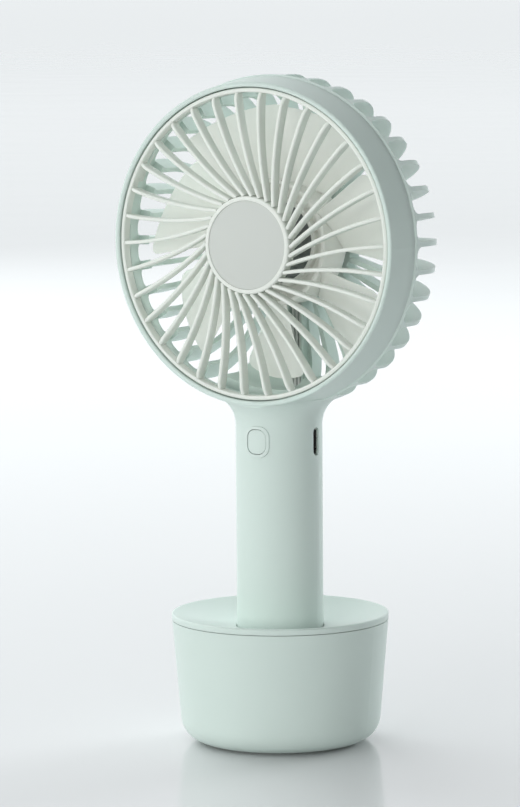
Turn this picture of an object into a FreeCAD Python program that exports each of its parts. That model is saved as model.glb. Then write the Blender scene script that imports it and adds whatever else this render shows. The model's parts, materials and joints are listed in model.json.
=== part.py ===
"""Handheld fan standing in its charging cradle.

Frame: millimetres, +Z up, origin on the table under the middle of the cradle.
The handle stands on the Z axis, the head turns its face to -Y and its axis is parallel to Y.
"""
import FreeCAD, Part
import math
import os
import re
import Sketcher

V = FreeCAD.Vector

DIMENSIONS = {
    # how far a cutting shape reaches past the face it cuts
    "spare": 1.0,
    # fan head, turned about an axis parallel to Y; depths are measured from the handle's plane
    "head_height": 162.3,
    "rim_front": 17.0,
    "rim_radius": 51.5,
    "rim_bore": 50.0,
    "rim_round": 0.6,
    "seam_front": 4.6,
    "seam_radius": 53.1,
    "ring_bore": 51.3,
    "ledge_bore": 48.2,
    "ledge_front": 13.0,
    "ledge_back": 11.8,
    "ledge_draft": 0.2,
    "joint_depth": 0.8,
    # rear cage
    "cage_radius": 53.6,
    "cage_straight": 4.5,
    "cage_round": 15.0,
    "cage_chamfer": 0.4,
    "fin_count": 38,
    "fin_phase": 5.5,
    "fin_thick": 1.6,
    "fin_depth": 6.0,
    "fin_front": 3.0,
    "slot_front": 3.9,
    "slot_round": 2.7,
    "slot_foot": 44.0,
    "slot_blind": 8.0,
    "slot_blind_reach": 23.0,
    "cage_centre": 19.5,
    "motor_recess": 18.0,
    "back_plate": 2.0,
    # handle and neck
    "grip_radius": 14.0,
    "grip_wall": 1.8,
    "grip_bottom": 18.0,
    "grip_bore_top": 107.5,
    "neck_round": 10.0,
    "neck_sink": 0.1,
    "neck_front": 16.6,
    "neck_back": 14.5,
    "split_low": 101.5,
    "split_high": 108.5,
    # front grille
    "grille_radius": 49.65,
    "grille_ring": 1.4,
    "grille_back": 13.1,
    "grille_edge": 16.1,
    "grille_shoulder": 17.3,
    "shoulder_radius": 47.8,
    "hub_radius": 15.2,
    "hub_front": 19.4,
    "hub_back": 15.2,
    "hub_recess": 1.0,
    "hub_lip": 0.3,
    "hub_slope": 0.6,
    "hub_step": 0.5,
    "hub_wall": 0.8,
    "badge_play": 0.1,
    "badge_radius": 14.1,
    "badge_thick": 0.7,
    "rib_count": 34,
    "rib_thick": 1.2,
    "rib_depth": 3.4,
    "rib_bend": 120.0,
    "rib_straight": 52.0,
    "rib_phase": 1.0,
    "hook_count": 3,
    "hook_play": 0.15,
    "hook_thick": 1.1,
    "hook_start": 30.0,
    "hook_sweep": 12.0,
    "hook_ahead": 5.0,
    "stem_ahead": 2.0,
    "stem_sweep": 5.0,
    "window_sweep": 24.0,
    # impeller
    "impeller_hub": 20.4,
    "impeller_wall": 1.5,
    "impeller_front": 5.0,
    "impeller_back": 9.0,
    "web_front": 1.2,
    "web_thick": 1.6,
    "collar_wall": 1.4,
    "blade_count": 7,
    "blade_tip": 44.0,
    "blade_thick": 1.2,
    "blade_sunk": 2.4,
    "blade_phase": 11.0,
    "blade_root_chord": 17.2,
    "blade_tip_chord": 40.0,
    "blade_root_pitch": 45.0,
    "blade_tip_pitch": 24.0,
    "blade_root_middle": 1.5,
    "blade_tip_middle": 0.5,
    # motor, an outrunner behind the impeller's face
    "bell_radius": 13.2,
    "bell_wall": 1.0,
    "bell_length": 12.0,
    "bell_round": 0.6,
    "magnet_thick": 1.1,
    "stator_radius": 10.8,
    "stator_front": 4.0,
    "stator_back": 10.4,
    "stator_teeth": 9,
    "tooth_width": 2.2,
    "tooth_phase": 30.0,
    "shoe_thick": 1.0,
    "shoe_sweep": 32.0,
    "core_hub": 1.6,
    "coil_start": 2.2,
    "coil_long": 3.1,
    "coil_side": 0.9,
    "coil_over": 0.7,
    "coil_play": 0.05,
    "tube_radius": 4.0,
    "tube_front": 3.0,
    "shaft_radius": 1.5,
    "bearing_radius": 3.0,
    "bearing_width": 2.5,
    "bearing_play": 0.05,
    "bearing_front": 3.2,
    "bearing_inset": 0.4,
    "base_radius": 13.5,
    "base_thick": 1.6,
    # power button and its bezel, on the front of the handle
    "button_height": 99.0,
    "bezel_width": 8.9,
    "bezel_tall": 10.0,
    "bezel_round": 3.3,
    "bezel_proud": 0.3,
    "button_width": 6.6,
    "button_tall": 7.7,
    "button_round": 2.6,
    "button_play": 0.2,
    "button_gap": 0.45,
    "button_skin": 0.2,
    "stem_radius": 1.5,
    "stem_root": 0.8,
    "bezel_play": 0.03,
    # charging inlets
    "inlet_height": 98.45,
    "inlet_long": 8.94,
    "inlet_short": 3.2,
    "inlet_deep": 7.3,
    "inlet_wall": 0.35,
    "inlet_back": 0.8,
    "inlet_play": 0.1,
    "inlet_window": 6.0,
    "inlet_mouth": 13.3,
    "tongue_thick": 0.7,
    "tongue_width": 6.4,
    "tongue_short": 1.8,
    # control board in the handle
    "board_width": 23.4,
    "board_thick": 1.0,
    "board_bottom": 89.2,
    "board_top": 107.0,
    "board_back": 1.6,
    "switch_size": 6.0,
    "switch_deep": 3.5,
    "plunger_radius": 1.6,
    "plunger_long": 2.0,
    "plunger_front": 5.45,
    "part_size": 5.0,
    "chip_deep": 1.1,
    "coil_deep": 3.0,
    # battery cell
    "cell_radius": 9.2,
    "cell_length": 65.0,
    "cell_bottom": 22.4,
    "tab_thick": 0.3,
    "tab_width": 5.0,
    "tab_reach": 7.0,
    "tab_stand": 6.0,
    "tab_gap": 0.2,
    "foam_tall": 8.0,
    "foam_low": 10.0,
    "foam_high": 16.0,
    # end cap and charging contacts
    "cap_bottom": 16.0,
    "cap_thick": 2.0,
    "cap_spigot": 1.6,
    "pad_depth": 0.6,
    "pad_disc": 2.4,
    "pad_ring_in": 4.6,
    "pad_ring_out": 7.4,
    "pad_solder": 5.8,
    "cap_play": 0.05,
    "cap_round": 0.8,
    # cradle
    "cup_rim": 35.1,
    "cup_top": 40.0,
    "cup_foot": 31.8,
    "cup_bottom": 0.5,
    "cup_round": 8.0,
    "cup_wall": 2.0,
    "dish_radius": 35.2,
    "dish_top": 42.2,
    "dish_seam": 0.2,
    "dish_edge": 0.5,
    "dish_sphere": 112.5,
    "dish_sphere_height": 149.3,
    "lip_radius": 32.5,
    "lip_depth": 3.6,
    "lip_wall": 1.4,
    "dish_under": 7.0,
    "dish_skin": 4.6,
    "post_inset": 5.5,
    "socket_bore": 14.35,
    "socket_wall": 1.65,
    "socket_floor": 15.9,
    "floor_thick": 2.0,
    "foot_out": 24.0,
    "foot_in": 19.4,
    "foot_thick": 1.2,
    "ballast_out": 18.4,
    "ballast_in": 5.0,
    "ballast_thick": 4.4,
    "pillar_radius": 4.0,
    "dock_board_bottom": 8.2,
    "dock_board_edge": 28.4,
    "dock_board_width": 18.0,
    "dock_board_back": 10.0,
    "dock_inlet_mouth": 31.6,
    "pin_spread": 6.0,
    "pin_radius": 0.6,
    "barrel_radius": 1.0,
    "barrel_inset": 0.3,
    "pin_play": 0.05,
    "pin_spring": 1.2,
    "pin_gap": 0.05,
    "screw_circle": 21.7,
    "screw_radius": 1.1,
    "screw_head": 1.9,
    "head_play": 0.1,
    "screw_head_thick": 0.9,
    "screw_length": 8.0,
    "post_radius": 2.6,
    "boss_radius": 3.2,
    "boss_tall": 1.5,
    "motor_screw_circle": 9.0,
    "motor_screw_radius": 0.9,
    "lead_radius": 0.5,
    "lead_run": 10.4,
    "lead_spread": 1.8,
    "lead_pitch": 1.4,
    "lead_bend": 1.2,
    "lead_tight_bend": 0.8,
    "lead_solder": 1.8,
    "lead_bottom": 101.0,
    "lead_under_roof": 2.2,
    "lead_rise": 10.0,
    "lead_behind": 15.1,
    "lead_coil_drop": 8.0,
    "channel_width": 6.0,
    "channel_front": 10.2,
    "channel_floor": 13.0,
    "channel_back": 14.2,
    "channel_wall": 0.8,
    "channel_foot": 1.6,
    "channel_sunk": 0.5,
    "passage_radius": 2.6,
    "passage_long": 14.0,
    "passage_back": 9.0,
    "passage_sunk": 3.0,
}

doc = FreeCAD.newDocument("fan")
sheet = doc.addObject("Spreadsheet::Sheet", "Dims")
for row, (alias, number) in enumerate(DIMENSIONS.items(), start=1):
    sheet.set(f"A{row}", alias)
    sheet.set(f"B{row}", str(number))
    sheet.setAlias(f"B{row}", alias)
doc.recompute()


# ---------------------------------------------------------------- helpers
def formula(text):
    """Turn 'cup_rim - cup_wall' into an expression on the sheet's cells."""
    return re.sub(r"[a-z_]+", lambda word: f"Dims.{word[0]}" if word[0] in DIMENSIONS else word[0], str(text))


def size(text):
    """The present value of a formula."""
    return float(sheet.evalExpression(formula(text)))


def bind(thing, **formulas):
    """Bind an object's properties to formulas on the sheet."""
    for name, text in formulas.items():
        thing.setExpression(name, formula(text))
    return thing


def place(thing, x="0", y="0", z="0", axis="Z", turn=0.0):
    """Put an object's base at a bound point, its own Z axis along the named axis."""
    turns = {"Z": FreeCAD.Rotation(V(0, 0, 1), turn), "Y": FreeCAD.Rotation(V(1, 0, 0), -90),
             "X": FreeCAD.Rotation(V(0, 1, 0), 90)}
    thing.Placement = FreeCAD.Placement(V(size(x), size(y), size(z)), turns[axis])
    for letter, text in (("x", x), ("y", y), ("z", z)):
        thing.setExpression(f".Placement.Base.{letter}", formula(text))
    return thing


def cylinder(name, radius, height, axis="Z", x="0", y="0", z="0"):
    return place(bind(doc.addObject("Part::Cylinder", name), Radius=radius, Height=height), x, y, z, axis)


def block(name, length, width, height, x, y, z):
    """A box centred on x and y, standing on z."""
    thing = bind(doc.addObject("Part::Box", name), Length=length, Width=width, Height=height)
    return place(thing, f"{x} - ({length}) / 2", f"{y} - ({width}) / 2", z)


def cut(name, base, *tools):
    result = doc.addObject("Part::Cut", name)
    result.Base = base
    result.Tool = tools[0] if len(tools) == 1 else fuse(name + "_tools", *tools)
    return result


def fuse(name, *shapes):
    result = doc.addObject("Part::MultiFuse", name)
    result.Shapes = list(shapes)
    return result


def common(name, *shapes):
    result = doc.addObject("Part::MultiCommon", name)
    result.Shapes = list(shapes)
    return result


def group(name, *shapes):
    """Separate solids kept in one node."""
    result = doc.addObject("Part::Compound", name)
    result.Links = list(shapes)
    return result


def built(name, shape):
    """A shape made with Part's own functions from the sheet's sizes."""
    result = doc.addObject("Part::Feature", name)
    result.Shape = shape
    return result


def tube(name, outer, inner, height, axis="Z", x="0", y="0", z="0"):
    """A ring or tube standing on a point, open at both ends."""
    solid = cylinder(name + "_outer", outer, height, axis, x, y, z)
    hole = cylinder(name + "_bore", inner, height, axis, x, y, z)
    return cut(name, solid, hole)


def outline_sketch(body, name, role, corners):
    """A closed outline of straight sides whose corners are bound to the sheet."""
    sketch = body.newObject("Sketcher::SketchObject", name)
    plane = next(item for item in body.Origin.OriginFeatures if item.Role == role)
    sketch.AttachmentSupport = [(plane, "")]
    sketch.MapMode = "FlatFace"
    points = [V(size(x), size(y), 0) for x, y in corners]
    count = len(points)
    for index, point in enumerate(points):
        sketch.addGeometry(Part.LineSegment(point, points[(index + 1) % count]), False)
    for index in range(count):
        sketch.addConstraint(Sketcher.Constraint("Coincident", index, 2, (index + 1) % count, 1))
    for index, corner in enumerate(corners):
        for kind, axis, text in (("DistanceX", -2, corner[0]), ("DistanceY", -1, corner[1])):
            if abs(size(text)) < 1e-9:
                sketch.addConstraint(Sketcher.Constraint("PointOnObject", index, 1, axis))
                continue
            number = sketch.addConstraint(Sketcher.Constraint(kind, -1, 1, index, 1, size(text)))
            sketch.setExpression(f"Constraints[{number}]", formula(text))
    return sketch


def turned(name, axis, corners, rounds=(), x="0", y="0", z="0"):
    """A body of revolution about Z or Y; corners are (radius, height along the axis).

    rounds lists (radius, height, fillet) for the circular edges that are rounded.
    """
    body = doc.addObject("PartDesign::Body", name)
    sketch = outline_sketch(body, name + "_outline", {"Z": "XZ_Plane", "Y": "XY_Plane"}[axis], corners)
    feature = body.newObject("PartDesign::Revolution", name + "_turn")
    feature.Profile = sketch
    feature.ReferenceAxis = (sketch, ["V_Axis"])
    feature.Angle = 360
    doc.recompute()
    for number, (radius, height, fillet) in enumerate(rounds):
        edges = [f"Edge{index}" for index, edge in enumerate(feature.Shape.Edges, start=1)
                 if circle_at(edge, axis, size(radius), size(height))]
        base = feature
        feature = body.newObject("PartDesign::Fillet", f"{name}_round_{number}")
        feature.Base = (base, edges)
        bind(feature, Radius=fillet)
        doc.recompute()
    body.Tip = feature
    return place(body, x, y, z)


def circle_at(edge, axis, radius, height):
    """Whether an edge is the circle of that radius at that height along the axis."""
    if not isinstance(edge.Curve, Part.Circle):
        return False
    centre = edge.Curve.Center
    along = centre.z if axis == "Z" else centre.y
    return abs(edge.Curve.Radius - radius) < 0.02 and abs(along - height) < 0.02


def rounded_prism(name, width, tall, corner, deep, y, z):
    """A prism along Y with a rounded rectangular section, centred on x = 0 and on z."""
    base = bind(doc.addObject("Part::Box", name + "_block"), Length=width, Width=deep, Height=tall)
    place(base, f"-({width}) / 2", y, f"{z} - ({tall}) / 2")
    doc.recompute()
    result = doc.addObject("Part::Fillet", name)
    result.Base = base
    corners = [index for index, edge in enumerate(base.Shape.Edges, start=1)
               if abs(edge.tangentAt(edge.FirstParameter).y) > 0.99]
    result.Edges = [(index, size(corner), size(corner)) for index in corners]
    return result


def sector(inner, outer, front, back, start, sweep):
    """A piece of a ring about the head's axis; angles in degrees from +X towards +Z."""
    height = size("head_height")
    corners = [V(inner, front, height), V(outer, front, height),
               V(outer, back, height), V(inner, back, height)]
    face = Part.Face(Part.makePolygon(corners + corners[:1]))
    return about_head(face.revolve(V(0, 0, height), V(0, -1, 0), sweep), start)


def about_head(shape, angle):
    """A copy of a shape turned about the head's axis, positive from +X towards +Z."""
    copy = shape.copy()
    copy.rotate(V(0, 0, size("head_height")), V(0, 1, 0), -angle)
    return copy


def wire_path(points, bend):
    """Straight runs joined by tangent arcs of one radius."""
    edges = []
    start = points[0]
    for before, corner, after in zip(points, points[1:], points[2:]):
        arrive = (corner - before).normalize()
        leave = (after - corner).normalize()
        turn = arrive.getAngle(leave)
        reach = bend * math.tan(turn / 2)
        first = corner - arrive * reach
        last = corner + leave * reach
        inward = (leave - arrive).normalize()
        centre = corner + inward * (bend / math.cos(turn / 2))
        edges.append(Part.LineSegment(start, first).toShape())
        edges.append(Part.Arc(first, centre - inward * bend, last).toShape())
        start = last
    edges.append(Part.LineSegment(start, points[-1]).toShape())
    return Part.Wire(edges)


def lead(points, radius, bend):
    """A round insulated lead along a route."""
    path = wire_path(points, bend)
    run = (points[1] - points[0]).normalize()
    ring = Part.Wire([Part.Circle(points[0], run, radius).toShape()])
    return path.makePipeShell([ring], True, True)


# ---------------------------------------------------------------- fan housing
def housing_blank():
    """Handle and neck before they are split into front and rear halves.

    The neck's hollow round touches the handle and the cage, and the neck ends where it meets the cage.
    """
    height = "head_height - cage_radius + fin_depth / 2 - grip_bottom"
    grip = cylinder("grip_blank", "grip_radius", height, z="grip_bottom")
    centres = "(cage_radius - neck_sink + neck_round)"
    top = f"head_height - sqrt({centres}^2 - (grip_radius + neck_round)^2)"
    meeting = f"(grip_radius + neck_round) * (cage_radius - neck_sink) / {centres}"
    flare = cylinder("neck_blank", meeting, "neck_round", z=top)
    hollow = bind(doc.addObject("Part::Torus", "neck_hollow"),
                  Radius1="grip_radius + neck_round", Radius2="neck_round")
    place(hollow, z=top)
    reach = bind(doc.addObject("Part::Box", "neck_reach"),
                 Length="4 * grip_radius", Width="neck_front + neck_back", Height="2 * neck_round")
    place(reach, "-2 * grip_radius", "-neck_front", top)
    neck = common("neck", cut("neck_flare", flare, hollow), reach)
    return fuse("grip_and_neck", grip, neck)


def front_zone():
    """Everything in front of the parting line of the two halves."""
    body = doc.addObject("PartDesign::Body", "front_zone")
    corners = [("-2 * neck_front", "0"), ("0", "0"), ("0", "split_low"), ("-seam_front", "split_high"),
               ("-seam_front", "head_height"), ("-2 * neck_front", "head_height")]
    sketch = outline_sketch(body, "front_zone_outline", "YZ_Plane", corners)
    pad = body.newObject("PartDesign::Pad", "front_zone_pad")
    pad.Profile = sketch
    pad.Midplane = True
    bind(pad, Length="4 * grip_radius")
    body.Tip = pad
    return body


def button_window():
    """The opening in the handle's front wall that holds the bezel."""
    return rounded_prism("button_window", "bezel_width", "bezel_tall", "bezel_round",
                         "3 * grip_wall", "-grip_radius - spare", "button_height")


def inlet_prism(name, growth, deep, mouth, tall=True):
    """A flat-sided oval prism that ends at the inlet's mouth, along +X (fan) or +Y (cradle).

    growth is how far its skin lies outside the inlet's own skin.
    """
    straight = "inlet_long - inlet_short"
    across = f"inlet_short + 2 * {growth}"
    radius = f"inlet_short / 2 + {growth}"
    if tall:
        core = bind(doc.addObject("Part::Box", name + "_core"), Length=deep, Width=across, Height=straight)
        place(core, f"{mouth} - {deep}", f"-({across}) / 2", f"inlet_height - ({straight}) / 2")
        ends = [cylinder(f"{name}_end_{number}", radius, deep, "X", f"{mouth} - {deep}", "0",
                         f"inlet_height + {number} * ({straight}) / 2") for number in (-1, 1)]
        return fuse(name, core, *ends)
    level = "dock_board_bottom + board_thick + inlet_short / 2"
    core = bind(doc.addObject("Part::Box", name + "_core"), Length=straight, Width=deep, Height=across)
    place(core, f"-({straight}) / 2", f"{mouth} - {deep}", f"{level} - ({across}) / 2")
    ends = [cylinder(f"{name}_end_{number}", radius, deep, "Y", f"{number} * ({straight}) / 2",
                     f"{mouth} - {deep}", level) for number in (-1, 1)]
    return fuse(name, core, *ends)


def front_shell(blank, zone, bore):
    """Front ring of the head with the front half of the neck and handle."""
    ring = turned("front_ring", "Y", [
        ("rim_bore", "-rim_front"), ("rim_radius", "-rim_front"), ("seam_radius", "-seam_front"),
        ("ring_bore", "-seam_front"), ("rim_bore + ledge_draft", "-ledge_back"),
        ("ledge_bore", "-ledge_back"), ("ledge_bore", "-ledge_front"), ("rim_bore", "-ledge_front")],
        rounds=[("rim_bore", "-rim_front", "rim_round"), ("rim_radius", "-rim_front", "rim_round")],
        z="head_height")
    half = common("front_grip", blank, zone)
    room = cylinder("front_room", "rim_bore + joint_depth", "2 * rim_front", "Y",
                    y="-rim_front", z="head_height")
    window = sector(size("ledge_bore - spare"), size("rim_bore - 2 * hook_play"),
                    -size("ledge_front + ledge_draft"), -size("ledge_back - ledge_draft"),
                    0, size("window_sweep"))
    windows = built("hook_windows", Part.makeCompound([about_head(window, angle) for angle in hook_angles()]))
    open_ring = cut("front_ring_windows", ring, windows)
    shell = fuse("front_shell_solid", cut("front_half", half, bore, room), open_ring)
    inlet = inlet_prism("inlet_window_front", "inlet_play", "inlet_window", "grip_radius + spare")
    return cut("front_shell", shell, button_window(), inlet)


def hook_angles():
    """Where each bayonet window of the ledge starts."""
    count = int(size("hook_count"))
    return [size("hook_start") + index * 360 / count for index in range(count)]


def slot_cutter(whole):
    """The gap between two fins, centred on +X: the back slot, and the side slot when whole."""
    step = math.radians(180 / size("fin_count"))
    shift = size("fin_thick") / 2 / math.cos(step)
    height = size("head_height")
    behind = size("2 * (cage_straight + cage_round)")

    def wedge(start, end, front):
        near = start * math.tan(step) - shift
        far = end * math.tan(step) - shift
        corners = [V(start, front, height - near), V(end, front, height - far),
                   V(end, front, height + far), V(start, front, height + near)]
        return Part.Face(Part.makePolygon(corners + corners[:1])).extrude(V(0, behind - front, 0))

    back = wedge(size("cage_centre"), size("slot_foot + spare"), size("slot_blind"))
    if not whole:
        return back
    side = wedge(size("slot_foot"), size("cage_radius + 5 * spare"), -size("slot_front"))
    rails = [edge for edge in side.Edges if abs(edge.BoundBox.YMax + size("slot_front")) < 1e-6
             and edge.BoundBox.XLength > size("fin_depth")]
    return side.makeFillet(size("slot_round"), rails).fuse(back)


def rear_shell(blank, zone, bore):
    """Slotted rear cage of the head with the rear half of the neck and handle."""
    bowl = turned("cage_bowl", "Y", [
        ("ring_bore", "-seam_front"), ("cage_radius - cage_chamfer", "-seam_front"),
        ("cage_radius", "-seam_front + cage_chamfer"), ("cage_radius", "cage_straight + cage_round"),
        ("0", "cage_straight + cage_round"),
        ("0", "cage_straight + cage_round - back_plate"),
        ("motor_recess", "cage_straight + cage_round - back_plate"),
        ("motor_recess", "cage_straight + cage_round - fin_depth"),
        ("cage_radius - fin_depth", "cage_straight + cage_round - fin_depth"),
        ("cage_radius - fin_depth", "-fin_front"), ("ring_bore", "-fin_front")],
        rounds=[("cage_radius", "cage_straight + cage_round", "cage_round"),
                ("cage_radius - fin_depth", "cage_straight + cage_round - fin_depth",
                 "cage_round - fin_depth")],
        z="head_height")
    step = 360 / size("fin_count")
    slots = []
    for index in range(int(size("fin_count"))):
        angle = size("fin_phase") + index * step
        from_neck = abs(angle % 360 - 270)
        if from_neck > step / 2:
            slots.append(about_head(slot_cutter(from_neck > size("slot_blind_reach")), angle))
    cage = cut("cage", bowl, built("cage_slots", Part.makeCompound(slots)))
    room = cylinder("rear_room", "cage_radius - fin_depth + joint_depth", "2 * cage_round", "Y",
                    y="-seam_front", z="head_height")
    half = cut("rear_half", cut("rear_grip", blank, zone), bore, room)
    low = "head_height - cage_radius + fin_depth + channel_foot"
    run = "cage_radius - fin_depth - channel_foot - motor_recess + channel_sunk"
    channel = block("channel_bar", "channel_width", "channel_back - channel_front", run,
                    "0", "(channel_front + channel_back) / 2", low)
    groove = block("channel_groove", "channel_width - 2 * channel_wall", "channel_floor - channel_front",
                   f"{run} + 2 * spare", "0", "(channel_front + channel_floor) / 2", f"{low} - spare")
    passage = cylinder("lead_passage", "passage_radius", "passage_long", y="passage_back",
                       z="grip_bore_top - passage_sunk")
    inlet = inlet_prism("inlet_window_rear", "inlet_play", "inlet_window", "grip_radius + spare")
    holes = motor_screw_rods("motor_screw_hole", "back_plate + 2 * spare",
                             "cage_straight + cage_round - back_plate - spare")
    return cut("rear_shell", fuse("rear_shell_solid", cage, half, channel), passage, groove, inlet, *holes)


def motor_screw_rods(name, length, start):
    """Three rods parallel to the head's axis, where the motor is screwed to the cage."""
    return [cylinder(f"{name}_{angle}", "motor_screw_radius", length, "Y",
                     f"motor_screw_circle * cos({angle})", start,
                     f"head_height + motor_screw_circle * sin({angle})") for angle in (90, 210, 330)]


# ---------------------------------------------------------------- front grille
def rib_strip():
    """One swirling rib seen from the front, almost straight out at the rim end, as deep as the slab."""
    bend = size("rib_bend")
    half = size("rib_thick") / 2
    centre = V(size("rib_straight"), -size("hub_front + spare"), size("head_height") - bend)
    reach = math.asin((size("rib_straight") - size("hub_radius - spare")) / bend)

    def point(radius, angle):
        return centre + V(-radius * math.sin(angle), 0, radius * math.cos(angle))

    outer = [point(bend + half, reach * part) for part in (0, 0.5, 1)]
    inner = [point(bend - half, reach * part) for part in (1, 0.5, 0)]
    edges = [Part.Arc(*outer).toShape(), Part.LineSegment(outer[2], inner[0]).toShape(),
             Part.Arc(*inner).toShape(), Part.LineSegment(inner[2], outer[0]).toShape()]
    return Part.Face(Part.Wire(edges)).extrude(V(0, size("hub_front"), 0))


def front_grille():
    """Domed guard: a hub and a rim joined by swirling ribs, with three bayonet hooks behind the rim."""
    slab = turned("grille_slab", "Y", [
        ("0", "-hub_front + hub_recess"), ("badge_radius + badge_play", "-hub_front + hub_recess"),
        ("badge_radius + badge_play", "-hub_front"), ("hub_radius", "-hub_front"),
        ("hub_radius + hub_slope", "-hub_front + hub_step"), ("shoulder_radius", "-grille_shoulder"),
        ("grille_radius", "-grille_edge"), ("grille_radius", "-grille_back"),
        ("grille_radius - grille_ring", "-grille_back"),
        ("grille_radius - grille_ring", "-grille_shoulder + rib_depth"),
        ("hub_radius + hub_wall", "-hub_front + hub_step + rib_depth"),
        ("hub_radius + hub_wall", "-hub_back"), ("0", "-hub_back")],
        rounds=[("hub_radius", "-hub_front", "hub_lip")],
        z="head_height")
    gap = tube("grille_gap", "grille_radius - grille_ring", "hub_radius + hub_wall", "hub_front", "Y",
               y="-hub_front - spare", z="head_height")
    count = int(size("rib_count"))
    ribs = built("grille_ribs", Part.makeCompound(
        [about_head(rib_strip(), size("rib_phase") + index * 360 / count) for index in range(count)]))
    openings = cut("grille_openings", gap, ribs)
    behind_ledge = size("hook_play - ledge_back")
    heel = behind_ledge + size("hook_thick")
    inner = size("ledge_bore + hook_play")
    outer = size("rim_bore - 4 * hook_play")
    hooks = []
    for angle in hook_angles():
        stem = sector(inner, outer, -size("grille_back + hub_step"), heel,
                      angle + size("stem_ahead"), size("stem_sweep"))
        head = sector(inner, outer, behind_ledge, heel, angle - size("hook_ahead"), size("hook_sweep"))
        hooks.append(stem.fuse(head))
    guard = cut("grille_guard", slab, openings)
    return fuse("front_grille", guard, built("grille_hooks", Part.makeCompound(hooks)))


# ---------------------------------------------------------------- impeller and motor
def blade():
    """One twisted blade centred on +X, lofted through flat sections."""
    sections = []
    root = size("impeller_hub - blade_sunk")
    tip = size("blade_tip + spare")
    for share in (0, 0.25, 0.6, 1):
        radius = root + (tip - root) * share
        chord = size("blade_root_chord") * (1 - share) + size("blade_tip_chord") * share
        pitch = math.radians(size("blade_root_pitch") * (1 - share) + size("blade_tip_pitch") * share)
        along = V(0, -math.sin(pitch), math.cos(pitch)) * (chord / 2)
        across = V(0, math.cos(pitch), math.sin(pitch)) * (size("blade_thick") / 2)
        middle = size("blade_root_middle") * (1 - share) + size("blade_tip_middle") * share
        heart = V(radius, middle, size("head_height"))
        corners = [heart + along + across, heart - along + across,
                   heart - along - across, heart + along - across]
        sections.append(Part.makePolygon(corners + corners[:1]))
    return Part.makeLoft(sections, True, True)


def impeller():
    """Hub with its web and collar, and the blades around it."""
    hub = turned("impeller_hub_ring", "Y", [
        ("impeller_hub - impeller_wall", "-impeller_front"), ("impeller_hub", "-impeller_front"),
        ("impeller_hub", "impeller_back"), ("impeller_hub - impeller_wall", "impeller_back"),
        ("impeller_hub - impeller_wall", "web_front + web_thick"),
        ("bell_radius + collar_wall", "web_front + web_thick"),
        ("bell_radius + collar_wall", "impeller_back"),
        ("bell_radius", "impeller_back"), ("bell_radius", "-web_front"),
        ("bell_radius + collar_wall", "-web_front"), ("bell_radius + collar_wall", "web_front"),
        ("impeller_hub - impeller_wall", "web_front")],
        z="head_height")
    long = size("2 * hub_front")
    start = V(0, -long / 2, size("head_height"))
    sweep = Part.makeCylinder(size("blade_tip"), long, start, V(0, 1, 0))
    sweep = sweep.cut(Part.makeCylinder(size("impeller_hub - impeller_wall / 2"), long, start, V(0, 1, 0)))
    trimmed = blade().common(sweep)
    count = int(size("blade_count"))
    blades = [built(f"blade_{index}", about_head(trimmed, size("blade_phase") + index * 360 / count))
              for index in range(count)]
    result = fuse("impeller", hub, *blades)
    result.Refine = False
    return result


def rotor():
    """Steel bell, magnet ring and shaft."""
    bell = turned("rotor_bell", "Y", [
        ("shaft_radius", "0"), ("bell_radius", "0"), ("bell_radius", "bell_length"),
        ("bell_radius - bell_wall", "bell_length"), ("bell_radius - bell_wall", "bell_wall"),
        ("shaft_radius", "bell_wall")],
        rounds=[("bell_radius", "0", "bell_round")],
        z="head_height")
    magnet = tube("rotor_magnet", "bell_radius - bell_wall", "bell_radius - bell_wall - magnet_thick",
                  "stator_back - stator_front + coil_over", "Y", y="stator_front - coil_over / 2",
                  z="head_height")
    shaft = cylinder("motor_shaft", "shaft_radius", "cage_straight + cage_round - back_plate + bearing_inset",
                     "Y", y="-2 * bearing_inset", z="head_height")
    return bell, magnet, shaft


def stator():
    """Bearing tube on its base plate, laminated core with nine teeth, a coil on each, and bearings."""
    back = "cage_straight + cage_round - back_plate"
    base = turned("motor_base", "Y", [
        ("bearing_radius", "tube_front"), ("tube_radius", "tube_front"),
        ("tube_radius", f"{back} - base_thick"),
        ("base_radius", f"{back} - base_thick"), ("base_radius", back), ("bearing_radius", back)],
        z="head_height")
    holes = motor_screw_rods("base_hole", "base_thick + 2 * spare", f"{back} - base_thick - spare")
    plate = cut("motor_base_plate", base, *holes)
    hub = tube("core_ring", "tube_radius + core_hub", "tube_radius", "stator_back - stator_front", "Y",
               y="stator_front", z="head_height")
    count = int(size("stator_teeth"))
    front = size("stator_front")
    deep = size("stator_back") - front
    height = size("head_height")
    width = size("tooth_width")
    root = size("tube_radius + core_hub / 2")
    inner = size("stator_radius - shoe_thick")
    sweep = size("shoe_sweep")
    tooth = Part.makeBox(inner + size("shoe_thick / 2") - root, deep, width,
                         V(root, front, height - width / 2))
    shoe = sector(inner, size("stator_radius"), front, front + deep, -sweep / 2, sweep)
    over = size("coil_over")
    side = size("coil_side")
    play = size("coil_play")
    outer = Part.makeBox(size("coil_long"), deep + 2 * over, width + 2 * side,
                         V(size("tube_radius + coil_start"), front - over, height - width / 2 - side))
    winding = outer.cut(Part.makeBox(size("stator_radius") - root, deep + 2 * play, width + 2 * play,
                                     V(root, front - play, height - width / 2 - play)))
    angles = [size("tooth_phase") + index * 360 / count for index in range(count)]
    teeth = built("core_teeth", Part.makeCompound([about_head(tooth.fuse(shoe), angle) for angle in angles]))
    coils = built("stator_coils", Part.makeCompound([about_head(winding, angle) for angle in angles]))
    core = fuse("stator_core", hub, teeth)
    starts = ("bearing_front", f"{back} - bearing_width - bearing_inset")
    bearings = group("motor_bearings", *[
        tube(f"bearing_{number}", "bearing_radius", "shaft_radius + bearing_play", "bearing_width", "Y",
             y=start, z="head_height") for number, start in enumerate(starts)])
    return plate, core, coils, bearings


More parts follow.
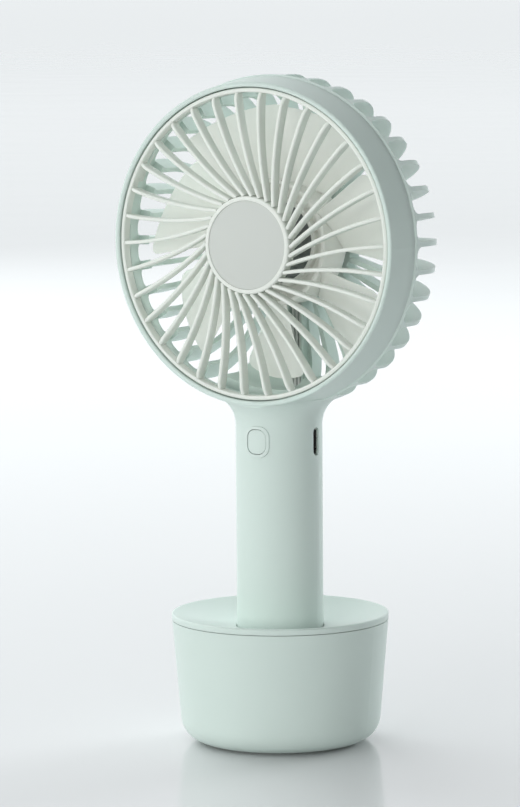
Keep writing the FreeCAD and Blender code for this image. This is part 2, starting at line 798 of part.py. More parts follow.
def motor_screws():
    """Three headless screws through the back plate of the cage into the motor's base."""
    return group("motor_screws", *motor_screw_rods(
        "motor_screw", "back_plate + base_thick", "cage_straight + cage_round - back_plate - base_thick"))


# ---------------------------------------------------------------- handle internals
def button_parts():
    """Bezel let into the handle's front wall and the button that slides in it."""
    inside = "grip_radius - grip_wall"
    low = "button_height - bezel_tall"
    front = "-grip_radius - spare"
    skin = tube("bezel_skin", "grip_radius + bezel_proud", inside, "2 * bezel_tall", z=low)
    frame = rounded_prism("bezel_frame", "bezel_width - 2 * bezel_play", "bezel_tall - 2 * bezel_play",
                          "bezel_round", "grip_radius", front, "button_height")
    opening = rounded_prism("bezel_opening", "button_width + 2 * button_play",
                            "button_tall + 2 * button_play", "button_round + button_play",
                            "grip_radius", front, "button_height")
    bezel = cut("button_bezel", common("bezel_ring", skin, frame), opening)
    face = tube("button_face", "grip_radius + button_skin / 2", f"{inside} + button_skin",
                "2 * bezel_tall", z=low)
    prism = rounded_prism("button_prism", "button_width", "button_tall", "button_round",
                          "grip_radius", front, "button_height")
    cap = common("button_cap", face, prism)
    stem_front = f"-({inside}) - stem_root"
    stem_long = f"-({stem_front}) - board_back - board_thick - plunger_front - button_gap"
    stem = cylinder("button_stem", "stem_radius", stem_long, "Y", y=stem_front, z="button_height")
    return bezel, fuse("power_button", cap, stem)


def handle_electronics():
    """Control board with its switch, components and charging inlet."""
    tall = "board_top - board_bottom"
    board = block("control_board", "board_width", "board_thick", tall, "0", "-board_back - board_thick / 2",
                  "board_bottom")
    front = "-board_back - board_thick"
    housing = block("switch_housing", "switch_size", "switch_deep", "switch_size", "0",
                    f"{front} - switch_deep / 2", "button_height - switch_size / 2")
    plunger = cylinder("switch_plunger", "plunger_radius", "plunger_long", "Y", y=f"{front} - plunger_front",
                       z="button_height")
    switch = fuse("button_switch", housing, plunger)
    shell_solid = inlet_prism("inlet_solid", "0", "inlet_deep", "inlet_mouth")
    shell_hollow = inlet_prism("inlet_hollow", "(-inlet_wall)", "inlet_deep", "inlet_mouth + inlet_back")
    shell = cut("charge_inlet", shell_solid, shell_hollow)
    tongue = block("charge_inlet_tongue", "inlet_deep - tongue_short", "tongue_thick", "tongue_width",
                   "inlet_mouth - inlet_deep / 2 - inlet_play", "0", "inlet_height - tongue_width / 2")
    chip = block("driver_chip", "part_size", "chip_deep", "part_size", "-part_size",
                 "chip_deep / 2 - board_back", "board_top - part_size - 2 * chip_deep")
    coil = block("power_coil", "part_size", "coil_deep", "part_size", "-part_size",
                 "coil_deep / 2 - board_back", "board_bottom + chip_deep")
    return board, switch, shell, tongue, group("board_components", chip, coil)


def battery():
    """Cylindrical cell, the strip at each end and two foam pads round it with room for the leads."""
    cell = turned("battery_cell", "Z", [
        ("0", "cell_bottom"), ("cell_radius", "cell_bottom"),
        ("cell_radius", "cell_bottom + cell_length"), ("0", "cell_bottom + cell_length")],
        rounds=[("cell_radius", "cell_bottom", "cap_round"),
                ("cell_radius", "cell_bottom + cell_length", "cap_round")])
    fold = "cell_radius + tab_gap + tab_thick"
    flat = block("tab_low_flat", "tab_width", f"tab_reach + {fold}", "tab_thick", "0",
                 f"(tab_reach - ({fold})) / 2", "cell_bottom - tab_thick")
    upright = block("tab_low_upright", "tab_width", "tab_thick", "tab_stand", "0",
                    f"tab_thick / 2 - ({fold})", "cell_bottom - tab_thick")
    high = block("tab_high", "tab_width", "2 * tab_reach", "tab_thick", "0", "0", "cell_bottom + cell_length")
    tabs = group("battery_tabs", fuse("tab_low", flat, upright), high)
    room = block("foam_notch", "4 * lead_spread", "tab_stand", "cell_length", "0", "-lead_run", "cell_bottom")
    skin = "grip_radius - grip_wall - inlet_play"
    levels = ("cell_bottom + foam_low", "cell_bottom + cell_length - foam_high")
    bands = [cut(f"foam_{number}", tube(f"band_{number}", skin, "cell_radius", "foam_tall", z=level), room)
             for number, level in enumerate(levels)]
    return cell, tabs, group("battery_pads", *bands)


def leads():
    """Motor leads up to the stator, battery leads and the leads of the charging contacts."""
    roof = size("grip_bore_top - lead_under_roof")
    radius = size("lead_radius")
    bend = size("lead_bend")
    board = size("lead_radius + inlet_play - board_back")
    up = size("passage_back + lead_pitch")
    channel = size("(channel_front + channel_floor) / 2")
    behind = size("lead_behind")
    coil_height = size("head_height - lead_coil_drop")
    motor = []
    for side in (-size("lead_pitch"), 0, size("lead_pitch")):
        route = [V(side, board, size("lead_bottom")), V(side, board, roof), V(side, up, roof),
                 V(side, up, size("grip_bore_top + lead_rise")),
                 V(side, channel, size("grip_bore_top + 1.5 * lead_rise")),
                 V(side, channel, size("head_height - motor_recess")),
                 V(side, behind, size("head_height - base_radius")),
                 V(side, behind, coil_height), V(side, size("stator_back + coil_over"), coil_height)]
        motor.append(lead(route, radius, bend))
    run = -size("lead_run")
    spread = size("lead_spread")
    solder = size("board_bottom + lead_solder")
    face = -size("board_back + board_thick")
    beside = -size("cell_radius + tab_gap + tab_thick + lead_radius")
    over = size("tab_reach / 2")
    plus = lead([V(0, over, size("cell_bottom + cell_length + tab_thick")), V(0, over, solder),
                 V(0, -size("board_back"), solder)], radius, bend)
    minus = lead([V(-spread, beside, size("cell_bottom + spare")), V(-spread, beside, solder),
                  V(-spread, face, solder)], radius, bend)
    pad_top = size("cap_bottom + pad_depth")
    cross = size("cap_bottom + cap_thick + cap_spigot + 2 * lead_radius")
    charge = []
    for side, start in ((0, 0), (spread, -size("pad_solder"))):
        route = [V(side, start, pad_top), V(side, start, cross), V(side, run, cross),
                 V(side, run, solder), V(side, face, solder)]
        charge.append(lead(route, radius, size("lead_tight_bend")))
    return (built("motor_leads", Part.makeCompound(motor)),
            built("battery_leads", Part.makeCompound([plus, minus])),
            built("charge_leads", Part.makeCompound(charge)))


def end_cap():
    """Plug that closes the handle and the two flush charging contacts in it."""
    cap = turned("cap_solid", "Z", [
        ("0", "cap_bottom"), ("grip_radius", "cap_bottom"), ("grip_radius", "cap_bottom + cap_thick"),
        ("grip_radius - grip_wall - cap_play", "cap_bottom + cap_thick"),
        ("grip_radius - grip_wall - cap_play", "cap_bottom + cap_thick + cap_spigot"),
        ("0", "cap_bottom + cap_thick + cap_spigot")],
        rounds=[("grip_radius", "cap_bottom", "cap_round")])
    disc = cylinder("pad_disc_solid", "pad_disc", "pad_depth", z="cap_bottom")
    ring = tube("pad_ring_solid", "pad_ring_out", "pad_ring_in", "pad_depth", z="cap_bottom")
    seats = [cylinder("disc_seat", "pad_disc", "pad_depth", z="cap_bottom"),
             tube("ring_seat", "pad_ring_out", "pad_ring_in", "pad_depth", z="cap_bottom")]
    ways = [cylinder(f"cap_way_{number}", "lead_radius + cap_play", "cap_thick + cap_spigot",
                     x=x, y=y, z="cap_bottom")
            for number, (x, y) in enumerate((("0", "0"), ("lead_spread", "-pad_solder")))]
    return cut("handle_end_cap", cap, *seats, *ways), group("charge_pads", disc, ring)


# ---------------------------------------------------------------- cradle
def on_screw_circle(name, radius, height, z):
    """Three upright cylinders where the cradle's screws stand."""
    return [cylinder(f"{name}_{angle}", radius, height, x=f"screw_circle * cos({angle})",
                     y=f"screw_circle * sin({angle})", z=z) for angle in (30, 150, 270)]


def cradle_shells():
    """Cup with its bosses and middle pillar, and the dished top with its socket and screw posts."""
    floor = "cup_bottom + cup_wall"
    cup = turned("cup_solid", "Z", [
        ("0", "cup_bottom"), ("cup_foot", "cup_bottom"), ("cup_rim", "cup_top"),
        ("cup_rim - cup_wall", "cup_top"), ("cup_foot - cup_wall", floor), ("0", floor)],
        rounds=[("cup_foot", "cup_bottom", "cup_round"),
                ("cup_foot - cup_wall", floor, "cup_round - cup_wall")])
    pillar = cylinder("cup_pillar", "pillar_radius", f"dock_board_bottom - ({floor})", z=floor)
    bosses = on_screw_circle("cup_boss", "boss_radius", "boss_tall", floor)
    window = inlet_prism("dock_inlet_window", "inlet_play", "4 * cup_wall", "dock_inlet_mouth + 2 * cup_wall",
                         tall=False)
    groove = tube("foot_groove", "foot_out", "foot_in", "foot_thick - cup_bottom", z="cup_bottom")
    heads = on_screw_circle("head_seat", "screw_head + head_play", "screw_head_thick", "foot_thick")
    stems = on_screw_circle("stem_way", "screw_radius", "screw_length", "foot_thick")
    shell = cut("cradle_cup", fuse("cup_and_bosses", cup, pillar, *bosses), window, groove, *heads, *stems)
    ledge = "cup_top + dish_seam"
    blank = turned("dish_blank", "Z", [
        ("0", "socket_floor - floor_thick"), ("socket_bore + socket_wall", "socket_floor - floor_thick"),
        ("socket_bore + socket_wall", "dish_top - dish_under"),
        ("lip_radius - lip_wall", "dish_top - dish_skin"),
        ("lip_radius - lip_wall", f"{ledge} - lip_depth"), ("lip_radius", f"{ledge} - lip_depth"),
        ("lip_radius", ledge), ("cup_rim", ledge), ("dish_radius", "dish_top"),
        ("socket_bore", "dish_top"), ("socket_bore", "socket_floor"), ("0", "socket_floor")],
        rounds=[("dish_radius", "dish_top", "dish_edge")])
    ball = bind(doc.addObject("Part::Sphere", "dish_ball"), Radius="dish_sphere")
    place(ball, z="dish_sphere_height")
    posts = on_screw_circle("dish_post", "post_radius", f"dish_top - post_inset - ({floor} + boss_tall)",
                            f"{floor} + boss_tall")
    pilots = on_screw_circle("post_pilot", "screw_radius", "screw_length", "foot_thick")
    holes = [cylinder(f"pin_hole_{number}", "barrel_radius + pin_play", "floor_thick + 2 * spare",
                      x=f"{number} * pin_spread", z="socket_floor - floor_thick - spare")
             for number in (0, 1)]
    solid = fuse("dish_and_posts", cut("dish_top_solid", blank, ball), *posts)
    return shell, cut("cradle_dish", solid, *pilots, *holes)


def cradle_insides():
    """Foot ring, screws, ballast, board, inlet and the spring contacts."""
    foot = tube("cradle_foot_ring", "foot_out", "foot_in", "foot_thick", z="0")
    screws = group("cradle_screws", *[
        fuse(f"screw_{number}", head, stem) for number, (head, stem) in enumerate(zip(
            on_screw_circle("screw_top", "screw_head", "screw_head_thick", "foot_thick"),
            on_screw_circle("screw_stem", "screw_radius", "screw_length", "foot_thick")))])
    ballast = tube("cradle_ballast", "ballast_out", "ballast_in", "ballast_thick", z="cup_bottom + cup_wall")
    board = block("cradle_board", "dock_board_width", "dock_board_edge + dock_board_back", "board_thick",
                  "0", "(dock_board_edge - dock_board_back) / 2", "dock_board_bottom")
    top = "dock_board_bottom + board_thick"
    solid = inlet_prism("dock_inlet_solid", "0", "inlet_deep", "dock_inlet_mouth", tall=False)
    hollow = inlet_prism("dock_inlet_hollow", "(-inlet_wall)", "inlet_deep",
                         "dock_inlet_mouth + inlet_back", tall=False)
    inlet = cut("cradle_inlet", solid, hollow)
    tongue = block("cradle_inlet_tongue", "tongue_width", "inlet_deep - tongue_short", "tongue_thick", "0",
                   "dock_inlet_mouth - inlet_deep / 2 - inlet_play",
                   f"{top} + (inlet_short - tongue_thick) / 2")
    barrels = group("contact_barrels", *[
        tube(f"barrel_{number}", "barrel_radius", "pin_radius + pin_play",
             f"socket_floor - barrel_inset - ({top})", x=f"{number} * pin_spread", z=top)
        for number in (0, 1)])
    pins = [cylinder(f"pin_{number}", "pin_radius", f"cap_bottom - pin_gap - ({top}) - pin_spring",
                     x=f"{number} * pin_spread", z=f"{top} + pin_spring") for number in (0, 1)]
    return foot, screws, ballast, board, inlet, tongue, barrels, pins


# ---------------------------------------------------------------- assembly
def bore_blank():
    """The hollow inside the handle."""
    return cylinder("grip_bore", "grip_radius - grip_wall", "grip_bore_top - grip_bottom + spare",
                    z="grip_bottom - spare")


def all_parts():
    """Every sub-part by its node's name."""
    blank = housing_blank()
    zone = front_zone()
    bore = bore_blank()
    parts = {"front_shell": front_shell(blank, zone, bore), "rear_shell": rear_shell(blank, zone, bore)}
    parts["front_grille"] = front_grille()
    parts["hub_badge"] = cylinder("hub_badge", "badge_radius", "badge_thick", "Y",
                                  y="-hub_front + hub_recess - badge_thick", z="head_height")
    parts["impeller"] = impeller()
    parts["rotor_bell"], parts["rotor_magnet"], parts["motor_shaft"] = rotor()
    parts["motor_base"], parts["stator_core"], parts["stator_coils"], parts["motor_bearings"] = stator()
    parts["motor_screws"] = motor_screws()
    parts["button_bezel"], parts["power_button"] = button_parts()
    (parts["control_board"], parts["button_switch"], parts["charge_inlet"], parts["charge_inlet_tongue"],
     parts["board_components"]) = handle_electronics()
    parts["battery_cell"], parts["battery_tabs"], parts["battery_pads"] = battery()
    parts["motor_leads"], parts["battery_leads"], parts["charge_leads"] = leads()
    parts["handle_end_cap"], parts["charge_pads"] = end_cap()
    parts["cradle_cup"], parts["cradle_dish"] = cradle_shells()
    (parts["cradle_foot_ring"], parts["cradle_screws"], parts["cradle_ballast"], parts["cradle_board"],
     parts["cradle_inlet"], parts["cradle_inlet_tongue"], parts["contact_barrels"], pins) = cradle_insides()
    parts["contact_pin_centre"], parts["contact_pin_outer"] = pins
    return parts


def main():
    parts = all_parts()
    doc.recompute()
    failed = [item.Name for item in doc.Objects if {"Invalid", "Error"} & set(item.State)]
    if failed:
        raise RuntimeError(f"objects that failed: {failed}")
    os.makedirs("parts", exist_ok=True)
    for name, item in parts.items():
        item.Label = name
        shape = item.Shape
        if shape.isNull() or not shape.isValid() or not shape.Solids:
            raise RuntimeError(f"{name} has no valid solid")
        shape.exportStep(f"parts/{name}.step")
        print(f"{name}: {len(shape.Solids)} solid(s), {shape.Volume:.0f} mm3")


main()
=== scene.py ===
"""Looks for the handheld fan in its charging cradle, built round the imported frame. Metres, +Z up."""
import json
import math

import bmesh
import bpy
from mathutils import Matrix, Vector


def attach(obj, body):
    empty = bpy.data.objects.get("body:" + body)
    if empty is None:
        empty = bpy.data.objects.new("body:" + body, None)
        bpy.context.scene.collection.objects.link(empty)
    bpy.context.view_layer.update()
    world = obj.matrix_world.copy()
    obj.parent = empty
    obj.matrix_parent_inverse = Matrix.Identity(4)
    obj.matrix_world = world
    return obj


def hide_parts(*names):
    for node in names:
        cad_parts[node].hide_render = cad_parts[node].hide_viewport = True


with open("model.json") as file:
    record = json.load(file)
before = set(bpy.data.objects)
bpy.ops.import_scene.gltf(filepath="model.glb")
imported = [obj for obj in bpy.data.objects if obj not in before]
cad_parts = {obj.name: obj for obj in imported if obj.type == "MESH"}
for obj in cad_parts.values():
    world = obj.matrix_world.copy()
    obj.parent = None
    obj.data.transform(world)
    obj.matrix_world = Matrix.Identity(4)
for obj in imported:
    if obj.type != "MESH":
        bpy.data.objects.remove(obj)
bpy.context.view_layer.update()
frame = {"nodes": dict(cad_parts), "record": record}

MM = 0.001
HEAD_HEIGHT = 162.3
CREASE = 40.0
SOFTENED_FROM = 35.0

# camera: degrees, and millimetres for its place
CAMERA_PLACE = (620.93, -1018.25, 242.68)
CAMERA_YAW = 31.667
CAMERA_PITCH = -6.346
CAMERA_ROLL = -0.413
SENSOR_WIDTH = 36.0
FOCAL_LENGTH = 165.97

# front guard, in millimetres and degrees; a depth grows from the front of the head to its back
DISC_RADIUS = 14.08
DISC_FRONT = -19.1
DISC_CROWN = 0.02
DISC_SEAT = -18.4
DISC_PLAY = 0.04
HUB_RADIUS = 15.6
HUB_LIP = 15.4
HUB_FRONT = -19.3
HUB_BACK = -15.2
RIB_COUNT = 34
RIB_PHASE = 1.0
RIB_BEND = 120.0
RIB_STRAIGHT = 52.0
RIB_ROOT = 14.4
RIB_THICK = 1.2
RIB_ROUND = 0.5
RIB_STEPS = 26
RIB_BACK_HUB = -15.6
RIB_BACK_RIM = -13.2
RIB_SUNK = 0.5
BEND_START = 45.5
BEND_REACH = 3.0
BEND_DROP = 1.3
DOME_START = 16.0
DOME_HUB = -18.9
DOME_RIM = -17.3
RIM_INNER = 48.25
RIM_OUTER = 49.65
RIM_INNER_FRONT = -16.75
RIM_OUTER_FRONT = -16.2
RIM_BACK = -13.1
HOOK_ANGLES = (30, 150, 270)
HOOK_INNER = 48.35
HOOK_OUTER = 49.4
HOOK_BACK = -10.55
HOOK_STEPS = 6
STEM = (2, 5, -13.3)
CATCH = (-5, 12, -11.65)

# fan rotor, in millimetres and degrees
BLADE_COUNT = 7
BLADE_PHASE = 11.0
BLADE_ROOT = 19.6
BLADE_TIP = 44.0
BLADE_THICK = 1.2
BLADE_ROWS = 16
BLADE_COLUMNS = 14
TIP_THINNING = 0.7
TIP_ROUND = 3.0
TIP_CORNER = 0.8
SPAN = (18.0, 45.0)
CHORD = (17.2, 40.0)
PITCH = (45.0, 24.0)
MIDDLE = (1.5, 0.5)
RING_INNER = 18.9
RING_OUTER = 20.4
COLLAR_INNER = 13.2
COLLAR_OUTER = 14.6
COLLAR_FRONT = -1.2
ROTOR_FRONT = -5.0
ROTOR_BACK = 9.0
WEB = (1.2, 2.8)


# ---------------------------------------------------------------- camera, floor and light
def add_camera():
    """Long-lens camera in front of the object and to its right, looking slightly down."""
    camera = bpy.data.objects.new("camera", bpy.data.cameras.new("camera"))
    bpy.context.scene.collection.objects.link(camera)
    yaw = Matrix.Rotation(math.radians(CAMERA_YAW), 4, "Z")
    pitch = Matrix.Rotation(math.radians(90 + CAMERA_PITCH), 4, "X")
    roll = Matrix.Rotation(math.radians(CAMERA_ROLL), 4, "Z")
    camera.matrix_world = Matrix.Translation(Vector(CAMERA_PLACE) * MM) @ yaw @ pitch @ roll
    camera.data.sensor_width = SENSOR_WIDTH
    camera.data.lens = FOCAL_LENGTH
    camera.data.clip_start = 0.05
    bpy.context.scene.camera = camera


def aim(obj, target):
    obj.rotation_euler = (Vector(target) - obj.location).to_track_quat("-Z", "Y").to_euler()


def add_panel(name, place, target, width, height, power, colour):
    """A soft rectangular lamp that faces its target and leaves no mirror image of itself."""
    lamp = bpy.data.lights.new(name, "AREA")
    lamp.shape = "RECTANGLE"
    lamp.size = width
    lamp.size_y = height
    lamp.energy = power
    lamp.color = colour
    obj = bpy.data.objects.new(name, lamp)
    bpy.context.scene.collection.objects.link(obj)
    obj.location = place
    obj.visible_camera = False
    obj.visible_glossy = False
    aim(obj, target)


def flat_sheet(name, width, depth, material):
    """A flat rectangle about its own centre."""
    x = width / 2
    y = depth / 2
    mesh = bpy.data.meshes.new(name)
    mesh.from_pydata([(-x, -y, 0), (x, -y, 0), (x, y, 0), (-x, y, 0)], [], [(0, 1, 2, 3)])
    mesh.materials.append(material)
    sheet = bpy.data.objects.new(name, mesh)
    bpy.context.scene.collection.objects.link(sheet)
    return sheet


def add_flag(place, target, width, height):
    """A dark studio flag, unseen by the camera, that keeps light off one side."""
    nodes = Nodes("flag_cloth")
    weave = nodes.noise(400.0, 2.0)
    nodes.link(nodes.ramp(weave, [(0.0, (0.03, 0.03, 0.03)), (1.0, (0.05, 0.05, 0.05))]), "Base Color")
    flag = flat_sheet("dark_flag", width, height, nodes.material)
    flag.location = place
    flag.visible_camera = False
    aim(flag, target)


def add_table():
    """Pale, softly glossy table top that reaches to the horizon."""
    nodes = Nodes("table_white")
    cloud = nodes.noise(3.0, 2.0)
    nodes.link(nodes.ramp(cloud, [(0.0, (0.70, 0.705, 0.71)), (1.0, (0.73, 0.735, 0.74))]), "Base Color")
    nodes.link(nodes.spread(cloud, 0.12, 0.15), "Roughness")
    table = flat_sheet("table_top", 400.0, 400.0, nodes.material)


def add_surround():
    """Even pale light from all sides."""
    world = bpy.data.worlds.new("surround")
    world.use_nodes = True
    backdrop = world.node_tree.nodes["Background"]
    backdrop.inputs["Color"].default_value = (0.95, 0.985, 1.0, 1.0)
    backdrop.inputs["Strength"].default_value = 0.95
    bpy.context.scene.world = world


def add_lamps():
    """Window light from the back left, fill from the left and front, a rim light, and a flag at the right."""
    centre = (0, 0, 0.14)
    add_panel("window_lamp", (-1.6, 0.9, 0.9), centre, 1.4, 0.9, 20.0, (0.94, 0.98, 1.0))
    add_panel("left_lamp", (-1.35, -0.55, 0.4), centre, 0.9, 0.6, 2.0, (1.0, 1.0, 0.98))
    add_panel("front_lamp", (0.0, -1.5, 0.25), centre, 0.7, 0.4, 6.0, (1.0, 1.0, 0.98))
    add_panel("rim_lamp", (0.45, 1.6, 0.4), centre, 0.7, 0.4, 15.0, (0.95, 0.98, 1.0))
    add_flag((0.55, 0.1, 0.7), (0.05, 0, 0.17), 1.6, 1.3)


# ---------------------------------------------------------------- mesh tools
def join(bm, first, second):
    """Faces between two closed rows of vertices; a row may be a single vertex."""
    count = max(len(first), len(second))
    for index in range(count):
        after = (index + 1) % count
        corners = [first[index % len(first)], first[after % len(first)],
                   second[after % len(second)], second[index % len(second)]]
        bm.faces.new(list(dict.fromkeys(corners)))


def make_piece(name, bm, material):
    """An object from a bmesh, smooth except where faces meet at more than the crease angle."""
    bmesh.ops.recalc_face_normals(bm, faces=bm.faces)
    mesh = bpy.data.meshes.new(name)
    bm.to_mesh(mesh)
    bm.free()
    mesh.shade_smooth()
    mesh.set_sharp_from_angle(angle=math.radians(CREASE))
    mesh.materials.append(material)
    piece = bpy.data.objects.new(name, mesh)
    bpy.context.scene.collection.objects.link(piece)
    return piece


def head_point(radius, depth, angle):
    """A point of the head in metres, from its radius, its depth and its angle from +X towards +Z."""
    turn = math.radians(angle)
    return Vector((radius * math.cos(turn), depth, HEAD_HEIGHT + radius * math.sin(turn))) * MM


def rounded(corners, steps=4):
    """Points of a closed outline whose corners are (across, along, round)."""
    points = []
    for index, (across, along, radius) in enumerate(corners):
        corner = Vector((across, along))
        if not radius:
            points.append(corner)
            continue
        before = (Vector(corners[index - 1][:2]) - corner).normalized()
        after = (Vector(corners[(index + 1) % len(corners)][:2]) - corner).normalized()
        half = before.angle(after) / 2
        centre = corner + (before + after).normalized() * (radius / math.sin(half))
        first = corner + before * (radius / math.tan(half)) - centre
        last = corner + after * (radius / math.tan(half)) - centre
        points += [centre + first.slerp(last, step / steps) * radius for step in range(steps + 1)]
    return points


def revolve(bm, outline, steps, closed=True):
    """Turn an outline of (radius, depth) about the head's axis; an open one starts and ends on the axis."""
    rows = []
    for radius, depth in outline:
        count = steps if radius else 1
        rows.append([bm.verts.new(head_point(radius, depth, 360 * step / count)) for step in range(count)])
    for first, second in zip(rows, rows[1:] + rows[:1] if closed else rows[1:]):
        join(bm, first, second)


def cap(bm, row):
    """Close a section with a ladder of faces between its two halves."""
    last = len(row) - 1
    for index in range(last // 2):
        bm.faces.new([row[index], row[index + 1], row[last - index - 1], row[last - index]])


def skin(bm, loops):
    """A closed skin over a row of sections with the same number of points."""
    rows = [[bm.verts.new(point) for point in loop] for loop in loops]
    for first, second in zip(rows, rows[1:]):
        join(bm, first, second)
    cap(bm, rows[0])
    cap(bm, rows[-1])


def turned_about_head(loops, angle):
    """Sections turned about the head's axis, positive from +X towards +Z."""
    heart = head_point(0, 0, 0)
    turn = Matrix.Rotation(math.radians(-angle), 3, "Y")
    return [[heart + turn @ (point - heart) for point in loop] for loop in loops]


# ---------------------------------------------------------------- materials
class Nodes:
    """A material's node tree with short calls for what the finishes here need."""

    def __init__(self, name):
        self.material = bpy.data.materials.new(name)
        self.material.use_nodes = True
        self.tree = self.material.node_tree
        self.shader = self.tree.nodes["Principled BSDF"]
        self.place = self.tree.nodes.new("ShaderNodeTexCoord").outputs["Object"]

    def add(self, kind, **inputs):
        node = self.tree.nodes.new(kind)
        for name, value in inputs.items():
            node.inputs[name].default_value = value
        return node

    def put(self, name, value):
        self.shader.inputs[name].default_value = value

    def link(self, output, name):
        self.tree.links.new(output, self.shader.inputs[name])

    def noise(self, scale, detail, roughness=0.5, stretch=None):
        node = self.add("ShaderNodeTexNoise", Scale=scale, Detail=detail, Roughness=roughness)
        source = self.place
        if stretch:
            mapping = self.tree.nodes.new("ShaderNodeMapping")
            mapping.inputs["Scale"].default_value = stretch
            self.tree.links.new(source, mapping.inputs["Vector"])
            source = mapping.outputs["Vector"]
        self.tree.links.new(source, node.inputs["Vector"])
        return node.outputs["Fac"]

    def ramp(self, value, stops):
        node = self.tree.nodes.new("ShaderNodeValToRGB")
        while len(node.color_ramp.elements) < len(stops):
            node.color_ramp.elements.new(0.5)
        for element, (position, colour) in zip(node.color_ramp.elements, stops):
            element.position = position
            element.color = (*colour, 1.0)
        self.tree.links.new(value, node.inputs["Fac"])
        return node.outputs["Color"]

    def spread(self, value, low, high):
        node = self.tree.nodes.new("ShaderNodeMapRange")
        node.inputs["To Min"].default_value = low
        node.inputs["To Max"].default_value = high
        self.tree.links.new(value, node.inputs["Value"])
        return node.outputs["Result"]

    def bump(self, height, distance, strength):
        node = self.add("ShaderNodeBump", Strength=strength, Distance=distance)
        self.tree.links.new(height, node.inputs["Height"])
        self.link(node.outputs["Normal"], "Normal")


def moulded_plastic(name, light, dark, roughness, glow=0.0, depth=0.0015):
    """Moulded plastic: faint clouds of colour, a fine spark-eroded grain and slightly uneven gloss."""
    nodes = Nodes(name)
    cloud = nodes.noise(28.0, 3.0, 0.55)
    nodes.link(nodes.ramp(cloud, [(0.3, dark), (0.7, light)]), "Base Color")
    smudge = nodes.noise(90.0, 4.0, 0.6)
    nodes.link(nodes.spread(smudge, roughness - 0.05, roughness + 0.07), "Roughness")
    nodes.bump(nodes.noise(2600.0, 2.0, 0.6), 0.00002, 0.5)
    nodes.put("IOR", 1.49)
    if glow:
        nodes.put("Subsurface Weight", glow)
        nodes.put("Subsurface Radius", (0.9, 1.0, 0.95))
        nodes.put("Subsurface Scale", depth)
    return nodes.material


def metal(name, light, dark, roughness, stretch=(1.0, 1.0, 1.0), scale=900.0):
    """Metal with fine machining or rolling marks."""
    nodes = Nodes(name)
    marks = nodes.noise(scale, 4.0, 0.6, stretch)
    nodes.link(nodes.ramp(marks, [(0.25, dark), (0.75, light)]), "Base Color")
    nodes.link(nodes.spread(marks, roughness - 0.08, roughness + 0.1), "Roughness")
    nodes.bump(marks, 0.00001, 0.4)
    nodes.put("Metallic", 1.0)
    return nodes.material


def soft_matt(name, light, dark, roughness, scale, depth):
    """Rubber, foam or solder mask: matt, with its own fine texture."""
    nodes = Nodes(name)
    texture = nodes.noise(scale, 4.0, 0.65)
    nodes.link(nodes.ramp(texture, [(0.25, dark), (0.75, light)]), "Base Color")
    nodes.link(nodes.spread(texture, roughness - 0.05, roughness + 0.05), "Roughness")
    nodes.bump(texture, depth, 0.6)
    return nodes.material


def plastics():
    """Moulded plastic parts, the cell's film and the leads' insulation, by slot."""
    return {
        "shell_plastic": moulded_plastic(
            "mint_shell", (0.655, 0.752, 0.706), (0.64, 0.737, 0.69), 0.36, 0.15),
        "grille_plastic": moulded_plastic(
            "grille_cream", (0.80, 0.83, 0.775), (0.78, 0.81, 0.755), 0.4, 0.25),
        "badge_plastic": moulded_plastic(
            "disc_grey", (0.61, 0.635, 0.60), (0.595, 0.62, 0.585), 0.48, 0.1),
        "impeller_plastic": moulded_plastic(
            "rotor_cream", (0.93, 0.94, 0.88), (0.91, 0.92, 0.86), 0.35, 0.3, 0.003),
        "button_plastic": moulded_plastic(
            "button_mint", (0.668, 0.76, 0.716), (0.653, 0.745, 0.70), 0.4, 0.15),
        "inner_plastic": moulded_plastic(
            "dark_nylon", (0.03, 0.03, 0.032), (0.02, 0.02, 0.022), 0.5),
        "cell_wrap": moulded_plastic(
            "cell_film", (0.05, 0.2, 0.42), (0.04, 0.17, 0.38), 0.28),
        "lead_insulation": moulded_plastic(
            "red_insulation", (0.55, 0.03, 0.025), (0.45, 0.02, 0.02), 0.35),
        "motor_lead_insulation": moulded_plastic(
            "white_insulation", (0.74, 0.75, 0.73), (0.68, 0.69, 0.67), 0.4),
    }


def metals():
    """Steel, copper and plated parts, by slot."""
    return {
        "rotor_steel": metal(
            "bell_steel", (0.30, 0.31, 0.32), (0.2, 0.21, 0.22), 0.38, (1.0, 14.0, 1.0)),
        "shaft_steel": metal(
            "ground_steel", (0.72, 0.72, 0.74), (0.6, 0.6, 0.62), 0.22, (1.0, 8.0, 1.0)),
        "core_steel": metal(
            "sheet_stack", (0.32, 0.33, 0.35), (0.12, 0.12, 0.13), 0.5, (0.2, 6.0, 0.2), 700.0),
        "copper": metal(
            "wound_copper", (0.82, 0.36, 0.16), (0.45, 0.16, 0.06), 0.3, (0.3, 1.0, 0.3), 1500.0),
        "brass": metal(
            "gold_plate", (0.93, 0.72, 0.33), (0.84, 0.6, 0.24), 0.22),
        "nickel": metal(
            "nickel_plate", (0.76, 0.75, 0.71), (0.64, 0.63, 0.6), 0.28),
        "ballast_steel": metal(
            "coated_steel", (0.22, 0.22, 0.23), (0.14, 0.14, 0.15), 0.55),
    }


def matt_finishes():
    """Ferrite, resin, foam and rubber, by slot."""
    return {
        "magnet": soft_matt(
            "dark_ferrite", (0.05, 0.048, 0.046), (0.03, 0.03, 0.03), 0.5, 1500.0, 0.00001),
        "circuit_board": soft_matt(
            "solder_mask", (0.03, 0.2, 0.1), (0.015, 0.13, 0.06), 0.38, 500.0, 0.00002),
        "component": soft_matt(
            "black_resin", (0.03, 0.03, 0.032), (0.018, 0.018, 0.02), 0.5, 1800.0, 0.00001),
        "foam": soft_matt(
            "grey_foam", (0.14, 0.14, 0.145), (0.05, 0.05, 0.052), 0.95, 1300.0, 0.0002),
        "foot_rubber": soft_matt(
            "grey_rubber", (0.30, 0.32, 0.31), (0.22, 0.24, 0.23), 0.85, 1600.0, 0.00003),
    }


